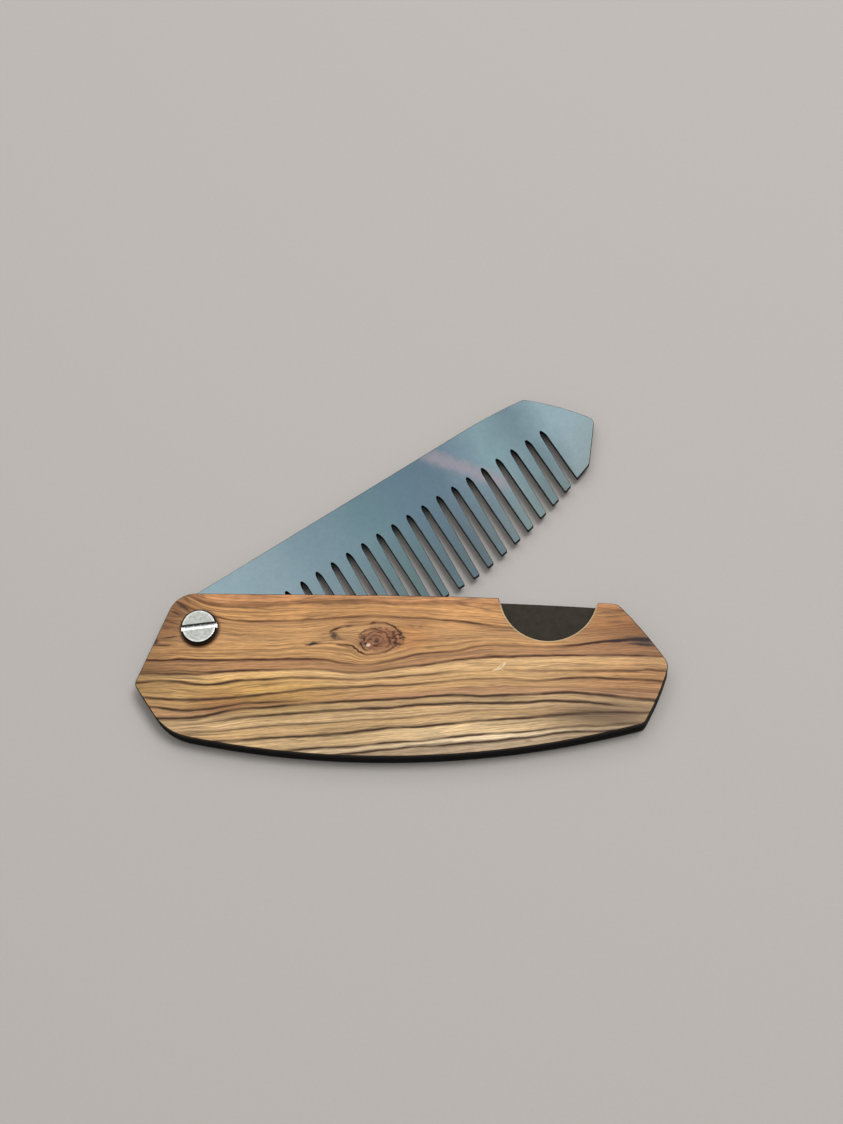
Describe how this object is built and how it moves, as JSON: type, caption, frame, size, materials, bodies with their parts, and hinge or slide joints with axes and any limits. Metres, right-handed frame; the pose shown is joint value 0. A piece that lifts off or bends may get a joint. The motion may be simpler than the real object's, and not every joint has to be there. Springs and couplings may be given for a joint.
{
  "type": "folding beard comb",
  "caption": "Pocket beard comb: a tapered-tooth steel blade that folds on a slotted screw into a flat wood-faced handle with a finger notch.",
  "frame": {"origin": "on the pivot axis, at the outer face of the back scale", "axes": "+X along the handle from the pivot to its far end, +Y towards the edge the blade folds out of, +Z out of the front face"},
  "size_m": [0.1153, 0.0859, 0.0067],
  "materials": {
    "wood_face": "oiled satin",
    "black_core": "matte, cut edge",
    "blade_steel": "satin, faint blue-grey oxide tint",
    "screw_steel": "satin nickel plate",
    "washer_bronze": "satin"
  },
  "bodies": {
    "handle": {"front_veneer": "wood_face", "front_core": "black_core", "back_core": "black_core", "back_veneer": "wood_face", "spacer": "black_core", "pivot_screw": "screw_steel", "pivot_post": "screw_steel", "front_washer": "washer_bronze", "back_washer": "washer_bronze"},
    "comb": {"comb_blade": "blade_steel"}
  },
  "joints": [
    {"name": "comb_hinge", "type": "hinge", "parent": "handle", "child": "comb", "pos_m": [0, 0, 0.00255], "axis": [0, 0, 1], "range_deg": [-35.4, 145.2]}
  ]
}
